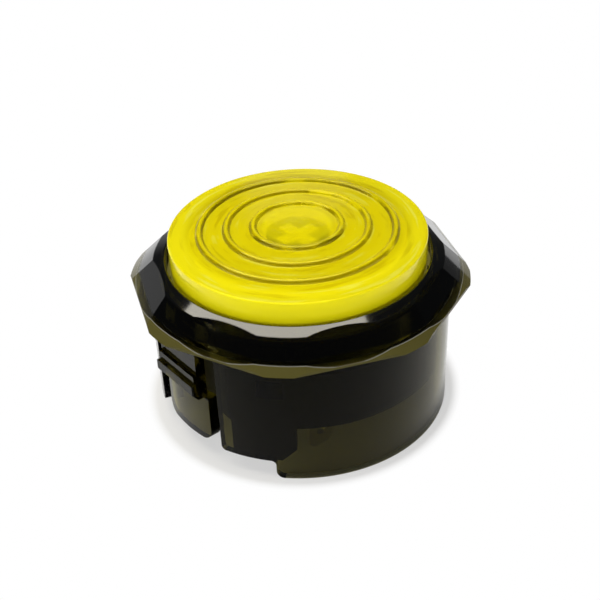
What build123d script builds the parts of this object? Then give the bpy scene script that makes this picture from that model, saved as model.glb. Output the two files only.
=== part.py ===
"""Snap-in arcade push button: clear yellow plunger, smoke housing, low key switch on a round board.

Millimetres. The origin is the centre of the bezel's underside, where it sits on the panel.
+Z points up along the plunger. The snap tabs lie on X and the deep skirts on Y.
"""
import os
from math import cos, radians, sin, sqrt, tan

from build123d import *

# Barrel, made for a round panel hole
panel_hole_diameter = 30.0
panel_hole_clearance = 0.2
panel_thickness = 3.4
barrel_wall = 1.1
neck_wall = 1.3
barrel_draft_angle = 0.5
neck_length = 0.9
skirt_depth = 13.6
skirt_corner_radius = 0.8
skirt_step = 2.05
tab_zone_half_angle = 41.0
panel_corner_radius = 0.5

# Eight-sided bezel with turned corners and a sloping crown
bezel_sides = 8
bezel_overhang = 1.1
bezel_land = 0.28
bezel_corner_trim = 0.51
crown_angle = 22.4
facet_crown_width = 0.65
corner_crown_width = 1.28
rim_height = 3.03
rim_thickness = 1.73
rim_edge_radius = 0.2
bezel_edge_radius = 0.2

# Snap tabs
tab_sides = (0, 180)
tab_gap_half_angle = 19.2
tab_thickness = 1.0
tab_setback = 0.1
tab_half_width = 2.9
pad_half_width = 3.4
pad_setback = 0.4
pad_thickness = 1.0
pad_corner_radius = 1.2
ridge_reach = 0.65
ridge_step = 0.35
ridge_height = 1.0
ridge_gap = 0.15
ridge_ramp = 0.8
tab_flex_room = 1.1

# Plunger
plunger_gap = 0.35
plunger_proud = 1.9
plunger_edge_radius = 0.15
cap_thickness = 1.52
dome_rise = 0.6
plunger_wall = 1.95
stroke = 1.8
ring_count = 3
ring_first_radius = 4.25
ring_pitch = 2.6
ring_width = 0.8
ring_height = 0.3
post_radius = 3.05
lug_reach = 0.45
lug_height = 1.0
lug_half_angle = 9.0
lug_angles = (45.0, 165.0, 285.0)
lug_rest_gap = 0.1
lug_side_gap = 0.2

# Key switch
switch_height = 5.0
switch_width = 13.6
switch_wall = 1.0
switch_floor = 0.8
switch_flange_width = 15.0
switch_flange_thickness = 0.8
cover_height = 2.25
cover_inset = 1.1
cover_roof = 0.8
spigot_radius = 1.3
spigot_height = 1.55
boss_radius = 1.95
boss_below_board = 0.6
slider_length = 6.0
slider_width = 5.0
slider_gap = 0.1
slider_flange_reach = 0.7
slider_flange_thickness = 0.8
slider_roof = 0.9
slider_pocket_radius = 2.0
cam_length = 2.0
cross_span = 4.1
cross_width = 1.3
cross_height = 2.9
cross_gap = 0.03
socket_spare_depth = 0.2
press_margin = 0.2

# Return spring
spring_mean_radius = 1.65
spring_wire_diameter = 0.3
spring_pitch = 0.75

# Contacts
contact_thickness = 0.2
contact_width = 2.4
contact_offset = 2.4
contact_cam_gap = 0.3
contact_gap = 0.6
contact_wall_gap = 0.14
contact_height = 2.95
contact_foot_length = 1.1
contact_blade_height = 1.4
dimple_radius = 0.4
dimple_height = 0.25
pin_radius = 0.45
pin_below_board = 1.05
pin_gap = 0.05

# Holder and board
holder_gap = 0.1
holder_wall = 1.0
holder_press_gap = 0.4
deck_thickness = 1.3
deck_hole_gap = 0.05
leg_inner_angle = 22.5
leg_outer_angle = 48.7
leg_depth = 12.1
leg_chamfer = 1.4
window_angle = 39.1
window_half_angle = 5.2
window_height = 1.95
latch_half_angle = 4.6
latch_reach = 0.45
latch_land = 0.3
latch_height = 1.6
latch_top_gap = 0.05
latch_below_seat = 0.8
pad_turns = (45, 135, 225, 315)
pad_radius = 0.8
pad_switch_gap = 0.6
board_thickness = 1.2
board_gap = 0.1
board_bottom_depth = 8.15

# Terminals and solder
blade_width = 2.8
blade_thickness = 0.5
blade_length = 4.95
blade_tip_chamfer = 0.6
blade_hole_radius = 0.55
blade_hole_from_tip = 1.8
blade_stub_width = 1.4
blade_spacing = 10.0
blade_edge_distance = 3.9
solder_radius = 1.1
solder_height = 0.8
solder_edge = 0.4
solder_gap = 0.02

# Worked-out sizes
barrel_radius = panel_hole_diameter / 2 - panel_hole_clearance
bore_radius = barrel_radius - barrel_wall
tab_zone_depth = skirt_depth - skirt_step
upper_bore_radius = barrel_radius - neck_wall
lug_radius = upper_bore_radius - lug_side_gap
rim_radius = lug_radius - lug_reach
plunger_radius = rim_radius - plunger_gap
bezel_apothem = barrel_radius + bezel_overhang
bezel_corner_radius = bezel_apothem / cos(radians(180 / bezel_sides)) - bezel_corner_trim
ledge_height = rim_height - rim_thickness
plunger_top = rim_height + plunger_proud
cap_underside = plunger_top - cap_thickness
dome_top = plunger_top + dome_rise
dome_radius = (plunger_radius**2 + dome_rise**2) / (2 * dome_rise)
lug_top = ledge_height - lug_rest_gap
wall_bottom = lug_top - lug_height
holder_top = wall_bottom - stroke - holder_press_gap
tab_face = barrel_radius - tab_setback
tab_inner_face = tab_face - tab_thickness
holder_radius = bore_radius - holder_gap
holder_flat = tab_inner_face - tab_flex_room
board_bottom = -board_bottom_depth
board_top = board_bottom + board_thickness
floor_top = board_top + switch_floor
cover_top = board_top + switch_height
cover_bottom = cover_top - cover_height
deck_top = cover_bottom - switch_flange_thickness
deck_bottom = deck_top - deck_thickness
post_bottom = cover_top + stroke + press_margin
slider_bottom = cover_top - cover_roof - slider_gap - slider_flange_thickness
slider_pocket_top = post_bottom - slider_roof
contact_top = floor_top + contact_height
cover_lean = cover_inset / (cover_height - cover_roof)
room_half_width = switch_width / 2 - switch_wall - cover_lean * (contact_top - cover_bottom)
fixed_leaf_y = room_half_width - contact_wall_gap - contact_thickness
moving_leaf_y = fixed_leaf_y - contact_gap - contact_thickness
cam_tip = moving_leaf_y - contact_cam_gap
pin_y = moving_leaf_y + contact_foot_length / 2
pad_circle_radius = switch_width / sqrt(2) + pad_switch_gap + pad_radius
board_radius = holder_radius - holder_wall - board_gap
blade_row_offset = board_radius - blade_edge_distance
reach = 4 * bezel_corner_radius
level_tolerance = 0.001


def block(x0, x1, y0, y1, z0, z1):
    """Box between two corners."""
    size = Box(x1 - x0, y1 - y0, z1 - z0)
    return Pos((x0 + x1) / 2, (y0 + y1) / 2, (z0 + z1) / 2) * size


def square_block(width, z0, z1):
    """Square prism on the axis."""
    return block(-width / 2, width / 2, -width / 2, width / 2, z0, z1)


def disc(radius, z0, z1):
    """Round prism on the axis."""
    return Pos(0, 0, (z0 + z1) / 2) * Cylinder(radius, z1 - z0)


def turned(points, arc=360.0, start=0.0):
    """Solid turned about Z from (radius, height) points."""
    face = make_face(Polyline(*[(r, 0, z) for r, z in points], close=True))
    return Rot(0, 0, start) * revolve(face, Axis.Z, arc)


def ring_sector(r0, r1, z0, z1, a0, a1):
    """Part of a ring between two angles, in degrees from +X."""
    return turned([(r0, z0), (r1, z0), (r1, z1), (r0, z1)], a1 - a0, a0)


def edges_between(solid, z0, z1):
    """Edges whose middle lies between two heights."""
    return solid.edges().filter_by_position(Axis.Z, z0, z1)


def edges_at(solid, height):
    """Edges whose middle lies at one height."""
    return edges_between(solid, height - level_tolerance, height + level_tolerance)


def level_lines(solid, height):
    """Straight edges that lie at one height."""
    return edges_at(solid, height).filter_by(GeomType.LINE)


def bezel_blank():
    """Eight-sided frustum whose corners and crown are turned, as on a nut."""
    crown_slope = tan(radians(crown_angle))
    crown_height = rim_height - crown_slope * facet_crown_width
    facet_run = bezel_apothem - rim_radius - facet_crown_width
    facet_slope = facet_run / (crown_height - bezel_land)
    top_apothem = bezel_apothem - facet_slope * (rim_height - bezel_land)
    low = RegularPolygon(bezel_apothem, bezel_sides, major_radius=False)
    high = RegularPolygon(top_apothem, bezel_sides, major_radius=False)
    frustum = extrude(low, bezel_land)
    frustum += loft([Pos(0, 0, bezel_land) * low, Pos(0, 0, rim_height) * high])
    envelope = turned([
        (0, 0),
        (bezel_corner_radius, 0),
        (rim_radius + corner_crown_width, rim_height - crown_slope * corner_crown_width),
        (rim_radius, rim_height),
        (0, rim_height),
    ])
    return frustum & envelope


def snap_tab():
    """Springy tab on +X: flat face, two stepped catch ridges and a curved finger pad."""
    tip = tab_face + ridge_reach
    first = -(panel_thickness + ridge_gap)
    second = first - ridge_height
    ridge_bottom = second - ridge_height
    pad_top = ridge_bottom - ridge_ramp
    profile = Polyline(
        (tab_inner_face, 0, 0),
        (tab_face, 0, 0),
        (tab_face, 0, first),
        (tab_face + ridge_step, 0, first),
        (tab_face + ridge_step, 0, second),
        (tip, 0, second),
        (tip, 0, ridge_bottom),
        (tab_face, 0, pad_top),
        (tab_inner_face, 0, pad_top),
        close=True,
    )
    stem = extrude(make_face(profile), tab_half_width, dir=(0, 1, 0), both=True)
    pad = block(0, reach, -pad_half_width, pad_half_width, -tab_zone_depth, pad_top)
    lower_edges = edges_at(pad, -tab_zone_depth).filter_by(Axis.X)
    pad = fillet(lower_edges, pad_corner_radius)
    pad_face = barrel_radius - pad_setback
    pad = pad & disc(pad_face, -tab_zone_depth, pad_top)
    return stem + (pad - disc(pad_face - pad_thickness, -tab_zone_depth, pad_top))


def latch():
    """Small wedge inside the barrel that holds the holder up."""
    top = holder_top - latch_below_seat
    tip = bore_radius - latch_reach
    root = bore_radius + barrel_wall / 2
    return turned(
        [(root, top), (tip, top), (tip, top - latch_land), (bore_radius, top - latch_height),
         (root, top - latch_height)],
        2 * latch_half_angle,
        -latch_half_angle,
    )


def housing():
    """Bezel, barrel, skirts and snap tabs, moulded in one."""
    foot_radius = barrel_radius - tan(radians(barrel_draft_angle)) * (skirt_depth - neck_length)
    barrel = turned([
        (0, 0),
        (barrel_radius, 0),
        (barrel_radius, -neck_length),
        (foot_radius, -skirt_depth),
        (0, -skirt_depth),
    ])
    body = bezel_blank()
    slope_edges = edges_between(body, bezel_land + level_tolerance, rim_height - level_tolerance)
    body = fillet(slope_edges, bezel_edge_radius)
    body += barrel
    body -= disc(rim_radius, ledge_height, rim_height)
    body -= disc(upper_bore_radius, holder_top, ledge_height)
    body -= disc(bore_radius, -skirt_depth, holder_top)
    rim_edge = edges_at(body, rim_height).filter_by(GeomType.CIRCLE)
    body = fillet(rim_edge, rim_edge_radius)
    for side in tab_sides:
        body -= ring_sector(
            bore_radius / 2, reach, -reach, -tab_zone_depth,
            side - tab_zone_half_angle, side + tab_zone_half_angle,
        )
    body = fillet(level_lines(body, -skirt_depth), skirt_corner_radius)
    for side in tab_sides:
        body -= ring_sector(
            bore_radius / 2, reach, -reach, -neck_length,
            side - tab_gap_half_angle, side + tab_gap_half_angle,
        )
    body = fillet(level_lines(body, -tab_zone_depth), panel_corner_radius)
    for side in tab_sides:
        body += Rot(0, 0, side) * snap_tab()
        for angle in (-window_angle, window_angle):
            body += Rot(0, 0, side + angle) * latch()
    return body


def cross(span, width, z0, z1):
    """Upright bar of cross section."""
    return block(-span / 2, span / 2, -width / 2, width / 2, z0, z1) + block(
        -width / 2, width / 2, -span / 2, span / 2, z0, z1
    )


def dome_point(radius):
    """Point of the low dome on the cap, at a distance from the axis."""
    return (radius, 0, dome_top - dome_radius + sqrt(dome_radius**2 - radius**2))


def ringed_top():
    """Outline of the cap's top: a low dome with rounded rings."""
    dome_start = 0
    lines = []
    for index in range(ring_count):
        radius = ring_first_radius + index * ring_pitch
        foot = radius - ring_width / 2
        end = radius + ring_width / 2
        crest = dome_point(radius)[2] + ring_height
        lines += [
            ThreePointArc(dome_point(dome_start), dome_point((dome_start + foot) / 2), dome_point(foot)),
            ThreePointArc(dome_point(foot), (radius, 0, crest), dome_point(end)),
        ]
        dome_start = end
    middle = (dome_start + plunger_radius) / 2
    return lines + [ThreePointArc(dome_point(dome_start), dome_point(middle), dome_point(plunger_radius))]


def plunger():
    """Domed cap with raised rings, side wall, three lugs and a post with a cross socket."""
    inner_radius = plunger_radius - plunger_wall
    below = Polyline(
        (plunger_radius, 0, plunger_top),
        (plunger_radius, 0, wall_bottom),
        (inner_radius, 0, wall_bottom),
        (inner_radius, 0, cap_underside),
        (0, 0, cap_underside),
        (0, 0, dome_top),
    )
    cap = revolve(make_face(ringed_top() + [below]), Axis.Z)
    cap = fillet(edges_at(cap, plunger_top), plunger_edge_radius)
    cap += disc(post_radius, post_bottom, cap_underside)
    socket_top = post_bottom + cross_height + socket_spare_depth
    cap -= cross(cross_span + 2 * cross_gap, cross_width + 2 * cross_gap, post_bottom, socket_top)
    for angle in lug_angles:
        cap += ring_sector(
            plunger_radius - plunger_wall / 2, lug_radius, wall_bottom, lug_top,
            angle - lug_half_angle, angle + lug_half_angle,
        )
    return cap


def switch_stem():
    """Slider with a retaining flange, a cam, a spring pocket and the cross head."""
    half_length = slider_length / 2
    half_width = slider_width / 2
    flange_top = slider_bottom + slider_flange_thickness
    flange_half = half_length + slider_flange_reach
    stem = block(-half_length, half_length, -half_width, half_width, slider_bottom, post_bottom)
    stem += block(-flange_half, flange_half, -half_width, half_width, slider_bottom, flange_top)
    stem += block(
        -contact_offset - cam_length / 2, -contact_offset + cam_length / 2,
        half_width, cam_tip, slider_bottom, flange_top,
    )
    stem += cross(cross_span, cross_width, post_bottom, post_bottom + cross_height)
    return stem - disc(slider_pocket_radius, slider_bottom, slider_pocket_top)


def pin_hole(x, z0, z1):
    """Clearance hole for a contact's pin."""
    return Pos(x, pin_y, 0) * disc(pin_radius + pin_gap, z0, z1)


def switch_base():
    """Lower case: square tray with a flange, a spring spigot and a boss through the board."""
    base = square_block(switch_width, board_top, cover_bottom)
    base += square_block(switch_flange_width, deck_top, cover_bottom)
    base -= square_block(switch_width - 2 * switch_wall, floor_top, cover_bottom)
    base += disc(spigot_radius, floor_top, floor_top + spigot_height)
    base += disc(boss_radius, board_bottom - boss_below_board, board_top)
    for x in (-contact_offset, contact_offset):
        base -= pin_hole(x, board_top, floor_top)
    return base


def switch_cover():
    """Upper case: sloping walls and a roof with the slider's opening."""
    low = Rectangle(switch_width, switch_width)
    top_width = switch_width - 2 * cover_inset
    high = Rectangle(top_width, top_width)
    shell = loft([Pos(0, 0, cover_bottom) * low, Pos(0, 0, cover_top) * high])
    roof_underside = cover_top - cover_roof
    room_low = switch_width - 2 * switch_wall
    room_top = room_low - 2 * cover_inset
    room = loft([
        Pos(0, 0, cover_bottom) * Rectangle(room_low, room_low),
        Pos(0, 0, roof_underside) * Rectangle(room_top, room_top),
    ])
    half_length = slider_length / 2 + slider_gap
    half_width = slider_width / 2 + slider_gap
    opening = block(-half_length, half_length, -half_width, half_width, roof_underside, cover_top)
    return shell - room - opening


def return_spring():
    """Round-wire coil between the case floor and the slider's pocket."""
    wire_radius = spring_wire_diameter / 2
    start = floor_top + wire_radius
    height = slider_pocket_top - floor_top - spring_wire_diameter
    path = Pos(0, 0, start) * Helix(spring_pitch, height, spring_mean_radius)
    section = Plane(origin=path @ 0, z_dir=path % 0) * Circle(wire_radius)
    return sweep(section, path, is_frenet=True)


def contact_pin(x):
    """Round pin through the case floor and the board."""
    return Pos(x, pin_y, 0) * disc(pin_radius, board_bottom - pin_below_board, floor_top)


def contact_foot(x):
    """Flat foot on the case floor."""
    half = contact_width / 2
    return block(
        x - half, x + half, moving_leaf_y, moving_leaf_y + contact_foot_length,
        floor_top, floor_top + contact_thickness,
    )


def moving_contact():
    """Upright leaf beside the cam, with a contact dimple."""
    x = -contact_offset
    half = contact_width / 2
    back = moving_leaf_y + contact_thickness
    leaf = block(x - half, x + half, moving_leaf_y, back, floor_top, contact_top)
    dimple_z = contact_top - contact_blade_height / 2
    dimple = Cylinder(dimple_radius, dimple_height, align=(Align.CENTER, Align.CENTER, Align.MIN))
    dimple = Pos(x, back, dimple_z) * Rot(-90, 0, 0) * dimple
    return leaf + dimple + contact_foot(x) + contact_pin(x)


def fixed_contact():
    """Stiff blade behind the leaf, on its own leg and foot."""
    x = contact_offset
    half = contact_width / 2
    back = fixed_leaf_y + contact_thickness
    blade_bottom = contact_top - contact_blade_height
    blade = block(-x - half, x + half, fixed_leaf_y, back, blade_bottom, contact_top)
    leg = block(x - half, x + half, fixed_leaf_y, back, floor_top, contact_top)
    return blade + leg + contact_foot(x) + contact_pin(x)


def holder_outline(margin):
    """Round outline with flats behind the snap tabs, shrunk by a margin."""
    flat_width = 2 * (holder_flat - margin)
    return Circle(holder_radius - margin) & Rectangle(flat_width, reach)


def switch_holder():
    """Cup with a deck for the switch, latch windows and four legs."""
    outer = holder_outline(0)
    inner = holder_outline(holder_wall)
    holder = Pos(0, 0, board_bottom) * extrude(outer - inner, holder_top - board_bottom)
    deck = Pos(0, 0, deck_bottom) * extrude(outer, deck_thickness)
    holder += deck - square_block(switch_width + 2 * deck_hole_gap, deck_bottom, deck_top)
    for turn in pad_turns:
        spot = Pos(pad_circle_radius * cos(radians(turn)), pad_circle_radius * sin(radians(turn)), 0)
        holder += spot * disc(pad_radius, board_top, deck_bottom)
    leg = ring_sector(
        holder_radius - holder_wall, holder_radius, -leg_depth, board_bottom,
        leg_inner_angle, leg_outer_angle,
    )
    leg_end = level_lines(leg, -leg_depth).sort_by(Axis.Y)[-1]
    leg = chamfer(leg_end, leg_chamfer)
    window_top = holder_top - latch_below_seat + latch_top_gap
    for side in tab_sides:
        holder += Rot(0, 0, side) * leg
        holder += Rot(0, 0, side) * mirror(leg, Plane.XZ)
        for angle in (side - window_angle, side + window_angle):
            holder -= ring_sector(
                holder_radius - 2 * holder_wall, reach, window_top - window_height, window_top,
                angle - window_half_angle, angle + window_half_angle,
            )
    return holder


def circuit_board():
    """Round board with flats, holes for the boss and pins, and slots for the terminals."""
    outline = holder_outline(holder_wall + board_gap)
    board = Pos(0, 0, board_bottom) * extrude(outline, board_thickness)
    board -= disc(boss_radius + pin_gap, board_bottom, board_top)
    for x in (-contact_offset, contact_offset):
        board -= pin_hole(x, board_bottom, board_top)
    for x in (-blade_spacing / 2, blade_spacing / 2):
        half_stub = blade_stub_width / 2 + pin_gap
        half_thickness = blade_thickness / 2 + pin_gap
        board -= block(
            x - half_stub, x + half_stub, -blade_row_offset - half_thickness,
            -blade_row_offset + half_thickness, board_bottom, board_top,
        )
    return board


def terminal(x):
    """Push-on blade with a chamfered tip, a hole and a stub through the board."""
    half_thickness = blade_thickness / 2
    front = -blade_row_offset - half_thickness
    back = -blade_row_offset + half_thickness
    tip = board_bottom - blade_length
    blade = block(x - blade_width / 2, x + blade_width / 2, front, back, tip, board_bottom)
    blade = chamfer(edges_at(blade, tip).filter_by(Axis.Y), blade_tip_chamfer)
    hole = Rot(90, 0, 0) * Cylinder(blade_hole_radius, 2 * blade_thickness)
    blade -= Pos(x, -blade_row_offset, tip + blade_hole_from_tip) * hole
    half_stub = blade_stub_width / 2
    return blade + block(x - half_stub, x + half_stub, front, back, board_bottom, board_top)


def solder_joints():
    """Cones round the pins and sloping collars round the blades."""
    joints = []
    for x in (-contact_offset, contact_offset):
        hole_radius = pin_radius + solder_gap
        cone = turned([
            (hole_radius, board_bottom),
            (solder_radius, board_bottom),
            (hole_radius + solder_edge / 2, board_bottom - solder_height),
            (hole_radius, board_bottom - solder_height),
        ])
        joints.append(Pos(x, pin_y, 0) * cone)
    for x in (-blade_spacing / 2, blade_spacing / 2):
        width = blade_width + 2 * solder_gap
        thickness = blade_thickness + 2 * solder_gap
        wide = Rectangle(width + 2 * solder_edge, thickness + 2 * solder_edge)
        slim = Rectangle(width + solder_edge / 2, thickness + solder_edge / 2)
        low = board_bottom - solder_height
        collar = loft([Pos(0, 0, low) * slim, Pos(0, 0, board_bottom) * wide])
        collar -= block(-width / 2, width / 2, -thickness / 2, thickness / 2, low, board_bottom)
        joints.append(Pos(x, -blade_row_offset, 0) * collar)
    return Compound(children=joints)


nodes = {
    "housing": housing(),
    "plunger": plunger(),
    "switch_holder": switch_holder(),
    "switch_base": switch_base(),
    "switch_cover": switch_cover(),
    "switch_stem": switch_stem(),
    "return_spring": return_spring(),
    "moving_contact": moving_contact(),
    "fixed_contact": fixed_contact(),
    "circuit_board": circuit_board(),
    "left_terminal": terminal(-blade_spacing / 2),
    "right_terminal": terminal(blade_spacing / 2),
    "solder_joints": solder_joints(),
}

os.makedirs("parts", exist_ok=True)
for name, solid in nodes.items():
    export_step(solid, f"parts/{name}.step")
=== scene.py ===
"""Looks of the snap-in arcade push button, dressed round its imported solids. Metres, in the part's frame."""
import math

import bpy
from mathutils import Matrix, Vector

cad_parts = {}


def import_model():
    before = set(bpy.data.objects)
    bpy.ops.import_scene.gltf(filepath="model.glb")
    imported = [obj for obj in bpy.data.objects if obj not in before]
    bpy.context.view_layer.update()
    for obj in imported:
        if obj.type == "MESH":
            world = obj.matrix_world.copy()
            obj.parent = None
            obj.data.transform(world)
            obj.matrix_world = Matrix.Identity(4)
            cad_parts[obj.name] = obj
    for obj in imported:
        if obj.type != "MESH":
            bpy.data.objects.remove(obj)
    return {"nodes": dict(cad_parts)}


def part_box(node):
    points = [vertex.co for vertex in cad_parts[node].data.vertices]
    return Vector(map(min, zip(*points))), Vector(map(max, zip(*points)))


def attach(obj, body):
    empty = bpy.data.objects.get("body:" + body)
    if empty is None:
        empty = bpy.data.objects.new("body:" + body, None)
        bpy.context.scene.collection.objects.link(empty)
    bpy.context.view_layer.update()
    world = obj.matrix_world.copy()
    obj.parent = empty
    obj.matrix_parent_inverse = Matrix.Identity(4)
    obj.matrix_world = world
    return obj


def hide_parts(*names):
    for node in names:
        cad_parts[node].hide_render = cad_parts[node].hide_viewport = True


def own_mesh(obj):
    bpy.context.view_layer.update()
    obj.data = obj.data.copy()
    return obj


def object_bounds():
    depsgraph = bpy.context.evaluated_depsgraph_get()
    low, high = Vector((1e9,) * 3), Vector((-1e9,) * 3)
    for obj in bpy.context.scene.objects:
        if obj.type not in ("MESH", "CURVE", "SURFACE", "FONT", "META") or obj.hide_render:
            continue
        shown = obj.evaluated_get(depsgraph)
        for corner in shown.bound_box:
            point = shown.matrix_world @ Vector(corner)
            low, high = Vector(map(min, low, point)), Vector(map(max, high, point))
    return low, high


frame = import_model()
cad_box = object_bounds()
nodes = frame["nodes"]

# Camera, as the photograph was taken
camera_azimuth = math.radians(-37.565)
camera_elevation = math.radians(34.384)
camera_roll = math.radians(2.45)
camera_distance = 0.115511
camera_target = Vector((-0.00003, 0.00002, -0.003224))
camera_lens_mm = 69.386
camera_sensor_mm = 36.0
camera_clip = (0.005, 10.0)
view_turn = Matrix.Rotation(camera_azimuth, 3, "Z")

# Light levels, against 1 for the white floor
room_level = 0.04
left_level = 0.4
right_level = 0.1
card_level = 0.3
# Emission of the floor under the button: a painted shadow
painted_shadow_level = 0.045
floor_level = 0.5

# Oval lamps: a round one overhead, and a row of low wide ones round the front
overhead_shift = -0.036
overhead_distance = -0.028
overhead_height = 0.15
overhead_size = 0.186
overhead_radiance = 4.3
fill_turn = 65
fill_distance = 0.2
fill_height = 0.05
fill_tilt = 76
fill_width = 0.226
fill_length = 0.079
front_radiance = 3.5
left_radiance = 3.5
right_radiance = 2.8
white = (1.0, 1.0, 1.0)
warm_white = (1.0, 0.95, 0.82)

# Sizes of the solids
floor_height = cad_box[0].z
cap_height = 0.00235
cap_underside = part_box("plunger")[1].z - cap_height
plunger_inner_radius = 0.01055
post_radius = 0.00305
ring_pitch = 0.0026
rim_radius = 0.01285

# Zones of the housing, each by the two ends of a soft change in height, distance from the axis or levelness
facet_heights = (0.0009, 0.0011)
facet_radii = (0.01325, 0.0133)
crown_heights = (0.0023, 0.0024)
crown_levels = (0.78, 0.88)
crown_radii = (rim_radius + 0.00002, rim_radius + 0.0001)
barrel_heights = (-0.00001, -0.00005)
# over_barrel_heights, land_heights, land_radii and corner_radii place the painted olive light on the bezel's
# lower edge and corners
over_barrel_heights = (-0.00005, 0.0)
land_heights = (0.0003, 0.00026)
land_radii = (0.01485, 0.0149)
corner_radii = (0.0159, 0.016)

# Zones of the plunger, in the same way
cap_margin = 0.0002
ring_zone_radius = plunger_inner_radius + 0.0005
# flank_levels picks the steep sides of the rings that take painted shade
flank_levels = (0.98, 0.85)
top_levels = (0.8, 0.9)
# line_radii sets where the painted shade and highlight lines lie on the cap
line_radii = (0.0032, 0.005)
# pale_radius and pale_edge_radii place the painted highlights on the rings and at the cap's edge
pale_radius = 0.0035
pale_edge_radii = (0.0103, 0.011)
milky_edge_radii = (0.0096, 0.0115)
milky_centre_radii = (0.0036, 0.003)
milky_wall_radii = (0.0123, 0.0124)
frost_margin = 0.0001
frost_level = 0.7


def add(tree, kind, inputs=None, **settings):
    """A shader node with its settings, and its inputs set or linked."""
    made = tree.nodes.new(kind)
    for name, value in settings.items():
        setattr(made, name, value)
    for name, value in (inputs or {}).items():
        if isinstance(value, bpy.types.NodeSocket):
            tree.links.new(value, made.inputs[name])
        else:
            made.inputs[name].default_value = value
    return made


def new_material(name):
    """An empty node material, its tree and its output."""
    made = bpy.data.materials.new(name)
    made.use_nodes = True
    made.node_tree.nodes.clear()
    output = add(made.node_tree, "ShaderNodeOutputMaterial")
    return made, made.node_tree, output


def math_node(tree, operation, *values):
    """The result of one sum."""
    return add(tree, "ShaderNodeMath", dict(enumerate(values)), operation=operation).outputs["Value"]


def vector_node(tree, operation, *values):
    """The result of one sum on vectors: a number for a length or a dot product, or else a vector."""
    made = add(tree, "ShaderNodeVectorMath", dict(enumerate(values)), operation=operation)
    gives_number = operation in ("LENGTH", "DOT_PRODUCT")
    return made.outputs["Value" if gives_number else "Vector"]


def product(tree, first, *others):
    """Values multiplied together."""
    for other in others:
        first = math_node(tree, "MULTIPLY", first, other)
    return first


def greatest(tree, first, *others):
    """The greatest of some values."""
    for other in others:
        first = math_node(tree, "MAXIMUM", first, other)
    return first


def spread(tree, value, low, high):
    """A value from 0 to 1 spread over another range."""
    made = add(tree, "ShaderNodeMapRange", {"Value": value, "To Min": low, "To Max": high})
    return made.outputs["Result"]


def step(tree, value, limits):
    """0 at the first limit and 1 at the second, with a soft change between them."""
    made = add(tree, "ShaderNodeMapRange", {
        "Value": value, "From Min": limits[0], "From Max": limits[1],
    }, interpolation_type="SMOOTHSTEP")
    return made.outputs["Result"]


def blend(tree, factor, first, second):
    """A blend of two colours, each given or linked, by a factor."""
    made = add(tree, "ShaderNodeMix", data_type="RGBA")
    tree.links.new(factor, made.inputs["Factor"])
    for socket, colour in ((made.inputs[6], first), (made.inputs[7], second)):
        if isinstance(colour, bpy.types.NodeSocket):
            tree.links.new(colour, socket)
        else:
            socket.default_value = (*colour, 1)
    return made.outputs[2]


def part_place(tree):
    """A point's place in the part's frame."""
    return add(tree, "ShaderNodeTexCoord").outputs["Object"]


def flat_place(tree, place):
    """A place brought down to the height of the origin."""
    return vector_node(tree, "MULTIPLY", place, (1, 1, 0))


def upward(tree, vector):
    """The upward part of a vector."""
    return add(tree, "ShaderNodeSeparateXYZ", {"Vector": vector}).outputs["Z"]


def place_of(tree):
    """Height above the origin, distance from the axis and levelness of a face."""
    place = part_place(tree)
    normal = add(tree, "ShaderNodeNewGeometry").outputs["True Normal"]
    radius = vector_node(tree, "LENGTH", flat_place(tree, place))
    level = math_node(tree, "ABSOLUTE", upward(tree, normal))
    return upward(tree, place), radius, level


def noise(tree, scale, detail=3.0):
    """Noise over the part's own coordinates; scale is in features for each metre."""
    made = add(tree, "ShaderNodeTexNoise", {"Vector": part_place(tree), "Scale": scale, "Detail": detail})
    return made.outputs["Fac"]


def circle_noise(tree, radius, around, across):
    """Noise drawn out along circles round the axis."""
    heading = vector_node(tree, "NORMALIZE", flat_place(tree, part_place(tree)))
    wide = vector_node(tree, "MULTIPLY", heading, (around, around, 0))
    lift = add(tree, "ShaderNodeCombineXYZ", {"Z": product(tree, radius, across)})
    both = vector_node(tree, "ADD", wide, lift.outputs["Vector"])
    made = add(tree, "ShaderNodeTexNoise", {"Vector": both, "Scale": 1.0, "Detail": 3.0})
    return made.outputs["Fac"]


def bump(tree, height, distance, strength):
    """A bump from a height pattern."""
    made = add(tree, "ShaderNodeBump", {"Height": height, "Distance": distance, "Strength": strength})
    return made.outputs["Normal"]


def dress(material, *names):
    """Gives CAD nodes a material."""
    for name in names:
        nodes[name].data.materials.clear()
        nodes[name].data.materials.append(material)


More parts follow.
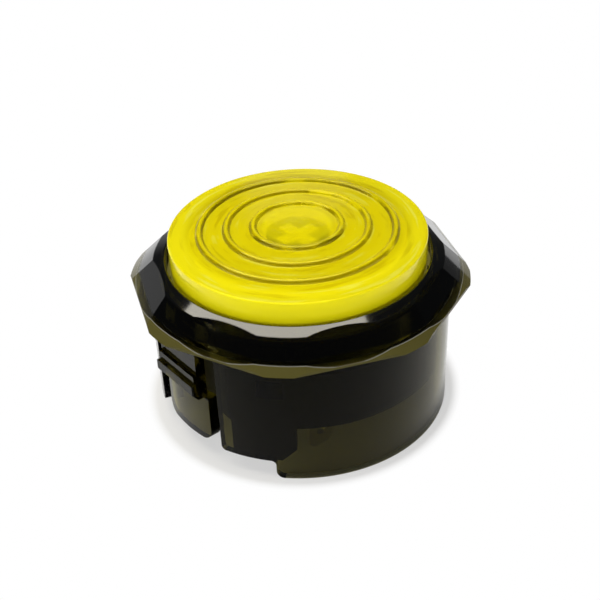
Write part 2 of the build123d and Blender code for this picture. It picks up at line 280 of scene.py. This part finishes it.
def smoke_plastic():
    """Polished smoke-tinted clear plastic, black on the bezel's faces and deeper on the barrel, with painted
    olive light along the bezel's lower edge and corners, standing for light shining through them.
    """
    barrel_tint = (0.35, 0.32, 0.15)
    inside_tint = (0.9, 0.9, 0.88)
    black_tint = (0.004, 0.004, 0.005)
    # Painted light: olive colour standing for light shining through the bezel's lower edge
    painted_light_tint = (0.1, 0.09, 0.026)
    no_gloss = (0.0, 0.0, 0.0)
    facet_gloss = (0.45, 0.45, 0.45)
    crown_gloss = (1.0, 1.0, 1.0)
    flow_scale = 180

    made, tree, output = new_material("smoke_plastic")
    height, radius, level = place_of(tree)
    facets = product(tree, step(tree, height, facet_heights), step(tree, radius, facet_radii))
    crown = product(
        tree,
        step(tree, height, crown_heights),
        step(tree, level, crown_levels),
        step(tree, radius, crown_radii),
    )
    land = product(
        tree,
        step(tree, height, land_heights),
        step(tree, height, over_barrel_heights),
        step(tree, radius, land_radii),
    )
    black = greatest(tree, facets, crown)
    # Painted light: the bezel's lower edge and corners take the olive colour and less transmission
    painted_light_edge = greatest(tree, land, step(tree, radius, corner_radii))
    tint = blend(tree, step(tree, height, barrel_heights), inside_tint, barrel_tint)
    tint = blend(tree, black, tint, black_tint)
    tint = blend(tree, painted_light_edge, tint, painted_light_tint)
    shader = add(tree, "ShaderNodeBsdfPrincipled", {
        "Base Color": tint,
        "Roughness": spread(tree, noise(tree, flow_scale), 0.03, 0.07),
        "IOR": 1.26,
        "Transmission Weight": spread(tree, painted_light_edge, 1.0, 0.35),
        "Specular Tint": (0.3, 0.3, 0.3, 1),
        "Coat Weight": blend(tree, black, no_gloss, blend(tree, crown, facet_gloss, crown_gloss)),
        "Coat Roughness": 0.08,
        "Coat IOR": 1.8,
    })
    inside = add(tree, "ShaderNodeVolumeAbsorption", {"Color": (0.58, 0.56, 0.2, 1), "Density": 1000.0})
    tree.links.new(shader.outputs["BSDF"], output.inputs["Surface"])
    tree.links.new(inside.outputs["Volume"], output.inputs["Volume"])
    return made


def ring_colour(tree, on_rings, radius, level, lines):
    """Yellow of the cap: painted highlights lighter in waves over the rings and at its edge, flow lines
    painted as dark shade and light highlight lines, and painted shade deep on the rings' steep sides.
    """
    deep_yellow = (0.95, 0.84, 0.0)
    # Painted highlight: the lighter yellow of reflections on the rings and at the cap's edge
    painted_highlight_yellow = (1.0, 0.93, 0.01)
    # Painted shade and painted highlight colours for the flow lines
    painted_shade_line_colour = (0.45, 0.3, 0.0)
    painted_highlight_line_colour = (1.0, 0.97, 0.08)
    # Painted shade: dark brown for the steep sides of the rings
    painted_shade_flank_colour = (0.09, 0.045, 0.0)
    dark_line_limits = (0.45, 0.3)
    pale_line_limits = (0.56, 0.7)
    patch_limits = (0.3, 0.5)
    patch_scale = 250
    wave_share = 0.65
    pale_edge_share = 0.7
    dark_line_share = 0.35
    flank_share = 0.75

    phase = product(tree, math_node(tree, "SUBTRACT", radius, pale_radius), math.tau / ring_pitch)
    wave = spread(tree, math_node(tree, "COSINE", phase), 0.5, 1.0)
    # Painted highlight: lighter bands in waves over the rings and along the cap's edge
    cap_painted_highlight = greatest(
        tree,
        product(tree, wave, wave_share, on_rings),
        product(tree, step(tree, radius, pale_edge_radii), pale_edge_share),
    )
    on_top = product(tree, step(tree, level, top_levels), step(tree, radius, line_radii))
    # Flow lines painted as dark shade lines and light highlight lines on the cap's top
    painted_shade_lines = product(tree, step(tree, lines, dark_line_limits), on_top, dark_line_share)
    painted_highlight_lines = product(tree, step(tree, lines, pale_line_limits), on_top)
    patches = step(tree, noise(tree, patch_scale), patch_limits)
    # Painted shade on the steep sides of the rings, broken into patches by noise
    painted_ring_shade = product(tree, on_rings, step(tree, level, flank_levels), patches, flank_share)
    colour = blend(tree, cap_painted_highlight, deep_yellow, painted_highlight_yellow)
    colour = blend(tree, painted_shade_lines, colour, painted_shade_line_colour)
    colour = blend(tree, painted_highlight_lines, colour, painted_highlight_line_colour)
    return blend(tree, painted_ring_shade, colour, painted_shade_flank_colour)


def yellow_plastic():
    """Polished clear yellow plastic, milky at its edge and middle and frosted inside."""
    milky_edge_share = 0.8
    milky_centre_share = 0.35
    clear_share = 0.65
    milky_clear_share = 0.35
    flow_scale = 220
    line_waves = 1.6
    lines_per_metre = 1600.0
    line_height = 0.00004

    made, tree, output = new_material("yellow_plastic")
    flow = noise(tree, flow_scale)
    height, radius, level = place_of(tree)
    # Flow lines: a real fine bump, and in ring_colour also painted shade and painted highlight lines
    lines = circle_noise(tree, radius, line_waves, lines_per_metre)
    below_cap = math_node(tree, "LESS_THAN", height, cap_underside + cap_margin)
    on_rings = product(
        tree,
        math_node(tree, "SUBTRACT", 1.0, below_cap),
        math_node(tree, "LESS_THAN", radius, ring_zone_radius),
    )
    milky = greatest(
        tree,
        product(tree, step(tree, radius, milky_edge_radii), milky_edge_share),
        product(tree, step(tree, radius, milky_centre_radii), milky_centre_share),
        step(tree, radius, milky_wall_radii),
    )
    clear = add(tree, "ShaderNodeBsdfPrincipled", {
        "Base Color": ring_colour(tree, on_rings, radius, level, lines),
        "Roughness": spread(tree, flow, 0.02, 0.05),
        "IOR": 1.49,
        "Transmission Weight": spread(tree, milky, clear_share, milky_clear_share),
        "Specular Tint": (1.0, 0.9, 0.1, 1),
        "Normal": bump(tree, lines, line_height, 0.5),
    })
    frosted = add(tree, "ShaderNodeBsdfPrincipled", {
        "Base Color": blend(tree, flow, (0.97, 0.93, 0.005), (0.98, 0.95, 0.01)),
        "Roughness": 0.6,
        "Specular IOR Level": 0.0,
    })
    dull = greatest(
        tree,
        math_node(tree, "GREATER_THAN", level, frost_level),
        math_node(tree, "COMPARE", radius, plunger_inner_radius, frost_margin),
        math_node(tree, "LESS_THAN", radius, post_radius + frost_margin),
    )
    mixed = add(tree, "ShaderNodeMixShader", {
        0: product(tree, below_cap, dull),
        1: clear.outputs["BSDF"],
        2: frosted.outputs["BSDF"],
    })
    inside = add(tree, "ShaderNodeVolumeAbsorption", {"Color": (1.0, 0.98, 0.0, 1), "Density": 250.0})
    tree.links.new(mixed.outputs["Shader"], output.inputs["Surface"])
    tree.links.new(inside.outputs["Volume"], output.inputs["Volume"])
    return made


def solid_plastic(name, first, second, roughness, grain=0.5, shine=0.5):
    """Moulded opaque plastic with a fine spark-eroded grain."""
    mottle_scale = 300
    sheen_scale = 900
    grain_scale = 9000
    grain_height = 0.00001

    made, tree, output = new_material(name)
    shader = add(tree, "ShaderNodeBsdfPrincipled", {
        "Specular IOR Level": shine,
        "Base Color": blend(tree, noise(tree, mottle_scale), first, second),
        "Roughness": spread(tree, noise(tree, sheen_scale), *roughness),
        "Normal": bump(tree, noise(tree, grain_scale, detail=2.0), grain_height, grain),
    })
    tree.links.new(shader.outputs["BSDF"], output.inputs["Surface"])
    return made


def metal(name, first, second, roughness):
    """Metal with soft stains and fine scratches."""
    stain_scale = 700
    sheen_scale = 2500
    scratch_scale = 12000
    scratch_depth = 0.000004

    made, tree, output = new_material(name)
    shader = add(tree, "ShaderNodeBsdfPrincipled", {
        "Base Color": blend(tree, noise(tree, stain_scale), first, second),
        "Metallic": 1.0,
        "Roughness": spread(tree, noise(tree, sheen_scale), *roughness),
        "Normal": bump(tree, noise(tree, scratch_scale, detail=2.0), scratch_depth, 0.5),
    })
    tree.links.new(shader.outputs["BSDF"], output.inputs["Surface"])
    return made


def dress_solids():
    """Gives every CAD node its material."""
    holder = solid_plastic(
        "holder_plastic", (0.012, 0.012, 0.012), (0.02, 0.02, 0.02), (0.4, 0.55), grain=0.05, shine=0.15,
    )
    case = solid_plastic("case_plastic", (0.03, 0.03, 0.032), (0.05, 0.05, 0.052), (0.4, 0.55))
    stem = solid_plastic("stem_plastic", (0.62, 0.58, 0.48), (0.72, 0.68, 0.58), (0.35, 0.5))
    board = solid_plastic("board", (0.01, 0.06, 0.03), (0.02, 0.09, 0.045), (0.3, 0.45))
    spring = metal("spring_steel", (0.5, 0.5, 0.5), (0.62, 0.62, 0.62), (0.2, 0.35))
    contact = metal("contact_brass", (0.7, 0.52, 0.22), (0.8, 0.64, 0.32), (0.2, 0.35))
    terminal = metal("terminal_brass", (0.66, 0.64, 0.58), (0.76, 0.74, 0.68), (0.2, 0.4))
    solder = metal("solder", (0.62, 0.62, 0.63), (0.74, 0.74, 0.75), (0.12, 0.3))
    dress(smoke_plastic(), "housing")
    dress(yellow_plastic(), "plunger")
    dress(holder, "switch_holder")
    dress(case, "switch_base", "switch_cover")
    dress(stem, "switch_stem")
    dress(spring, "return_spring")
    dress(contact, "moving_contact", "fixed_contact")
    dress(board, "circuit_board")
    dress(terminal, "left_terminal", "right_terminal")
    dress(solder, "solder_joints")


def coil_spring():
    """The return spring again, as a piece of its own with its own mesh, fixed to the housing."""
    solid = nodes["return_spring"]
    made = bpy.data.objects.new("coil_spring", solid.data.copy())
    made.matrix_world = solid.matrix_world
    bpy.context.scene.collection.objects.link(made)
    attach(made, "housing")
    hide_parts("return_spring")
    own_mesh(made)


def look_rays(tree):
    """1 for rays that look at the scene: from the camera, off gloss or through clear plastic."""
    path = add(tree, "ShaderNodeLightPath").outputs
    return greatest(tree, path["Is Camera Ray"], path["Is Glossy Ray"], path["Is Transmission Ray"])


def floor_material():
    """White paper that keeps the button's shadow, its emission painted dim under the button as a painted
    shadow, and clear from below.
    """
    paper_colour = (0.8, 0.8, 0.8, 1)
    glow_radii = (0.0142, 0.0165)

    made, tree, output = new_material("floor")
    geometry = add(tree, "ShaderNodeNewGeometry").outputs
    away = vector_node(tree, "LENGTH", flat_place(tree, geometry["Position"]))
    # Painted shadow: the floor's emission falls to a low level under and round the button's foot
    light_with_painted_shadow = spread(tree, step(tree, away, glow_radii), painted_shadow_level, 1.0)
    seen = product(tree, add(tree, "ShaderNodeLightPath").outputs["Is Camera Ray"], floor_level)
    from_above = add(tree, "ShaderNodeMixShader", {
        0: greatest(tree, product(tree, light_with_painted_shadow, look_rays(tree)), seen),
        1: add(tree, "ShaderNodeBsdfDiffuse", {"Color": paper_colour}).outputs["BSDF"],
        2: add(tree, "ShaderNodeEmission", {"Strength": 1.0}).outputs["Emission"],
    })
    from_below = add(tree, "ShaderNodeMixShader", {
        0: geometry["Backfacing"],
        1: from_above.outputs["Shader"],
        2: add(tree, "ShaderNodeBsdfTransparent").outputs["BSDF"],
    })
    tree.links.new(from_below.outputs["Shader"], output.inputs["Surface"])
    return made


def floor():
    """White sweep under the button."""
    half = 1.5
    mesh = bpy.data.meshes.new("floor")
    corners = [(-half, -half), (half, -half), (half, half), (-half, half)]
    mesh.from_pydata([(x, y, floor_height) for x, y in corners], [], [(0, 1, 2, 3)])
    mesh.materials.append(floor_material())
    made = bpy.data.objects.new("floor", mesh)
    bpy.context.scene.collection.objects.link(made)


def world():
    """Dim room, white to the camera, with a low pale horizon and a narrow card for what gloss shows."""
    card_heights = (0.515, 0.49)
    card_sides = (0.09, 0.06)
    horizon_heights = (0.3, 0.05)
    left_limits = (0.3, -0.6)

    made = bpy.data.worlds.new("world")
    bpy.context.scene.world = made
    made.use_nodes = True
    tree = made.node_tree
    tree.nodes.clear()
    output = add(tree, "ShaderNodeOutputWorld")
    direction = add(tree, "ShaderNodeTexCoord").outputs["Generated"]
    height = upward(tree, direction)
    sideways = vector_node(tree, "DOT_PRODUCT", direction, view_turn @ Vector((1, 0, 0)))
    ahead = vector_node(tree, "DOT_PRODUCT", direction, view_turn @ Vector((0, 1, 0)))
    card = product(
        tree,
        step(tree, height, card_heights),
        step(tree, math_node(tree, "ABSOLUTE", sideways), card_sides),
        math_node(tree, "GREATER_THAN", ahead, 0.0),
        card_level,
    )
    side_level = spread(tree, step(tree, sideways, left_limits), right_level, left_level)
    horizon = product(tree, step(tree, height, horizon_heights), side_level)
    shown = product(tree, greatest(tree, card, horizon), look_rays(tree))
    camera_ray = add(tree, "ShaderNodeLightPath").outputs["Is Camera Ray"]
    room = add(tree, "ShaderNodeBackground", {"Color": (0.9, 0.95, 1.0, 1), "Strength": room_level})
    sweep = add(tree, "ShaderNodeBackground", {"Color": (*white, 1), "Strength": 1.0})
    mixed = add(tree, "ShaderNodeMixShader", {
        0: greatest(tree, shown, camera_ray),
        1: room.outputs["Background"],
        2: sweep.outputs["Background"],
    })
    tree.links.new(mixed.outputs["Shader"], output.inputs["Surface"])


def softbox(name, turn, shift, distance, height, tilt, width, length, radiance, colour):
    """An oval lamp of a given brightness, placed round the button from the camera's side."""
    lamp = bpy.data.lights.new(name, "AREA")
    lamp.shape = "ELLIPSE"
    lamp.size = width
    lamp.size_y = length
    lamp.energy = radiance * math.pi * (math.pi / 4 * width * length)
    lamp.color = colour
    heading = camera_azimuth + math.radians(turn)
    made = bpy.data.objects.new(name, lamp)
    made.location = Matrix.Rotation(heading, 3, "Z") @ Vector((shift, -distance, height))
    made.rotation_euler = (math.radians(tilt), 0, heading)
    bpy.context.scene.collection.objects.link(made)


def lamps():
    """A warm lamp overhead, and white ones low in front and to both sides."""
    softbox(
        "top_softbox", 0, overhead_shift, overhead_distance, overhead_height, 0,
        overhead_size, overhead_size, overhead_radiance, warm_white,
    )
    fills = (
        ("front_fill", 0, front_radiance),
        ("left_fill", -fill_turn, left_radiance),
        ("right_fill", fill_turn, right_radiance),
    )
    for name, turn, radiance in fills:
        softbox(
            name, turn, 0, fill_distance, fill_height, fill_tilt,
            fill_width, fill_length, radiance, white,
        )


def camera():
    """The photograph's camera."""
    data = bpy.data.cameras.new("camera")
    data.lens = camera_lens_mm
    data.sensor_width = camera_sensor_mm
    data.clip_start, data.clip_end = camera_clip
    flat = math.cos(camera_elevation)
    back = Vector((
        math.sin(camera_azimuth) * flat,
        -math.cos(camera_azimuth) * flat,
        math.sin(camera_elevation),
    ))
    level = Vector((math.cos(camera_azimuth), math.sin(camera_azimuth), 0))
    rise = back.cross(level)
    right = level * math.cos(camera_roll) - rise * math.sin(camera_roll)
    up = level * math.sin(camera_roll) + rise * math.cos(camera_roll)
    turn = Matrix((right, up, back)).transposed().to_4x4()
    made = bpy.data.objects.new("camera", data)
    made.matrix_world = Matrix.Translation(camera_target + back * camera_distance) @ turn
    bpy.context.scene.collection.objects.link(made)
    bpy.context.scene.camera = made


dress_solids()
coil_spring()
floor()
world()
lamps()
camera()
bpy.context.scene.view_settings.view_transform = "Standard"
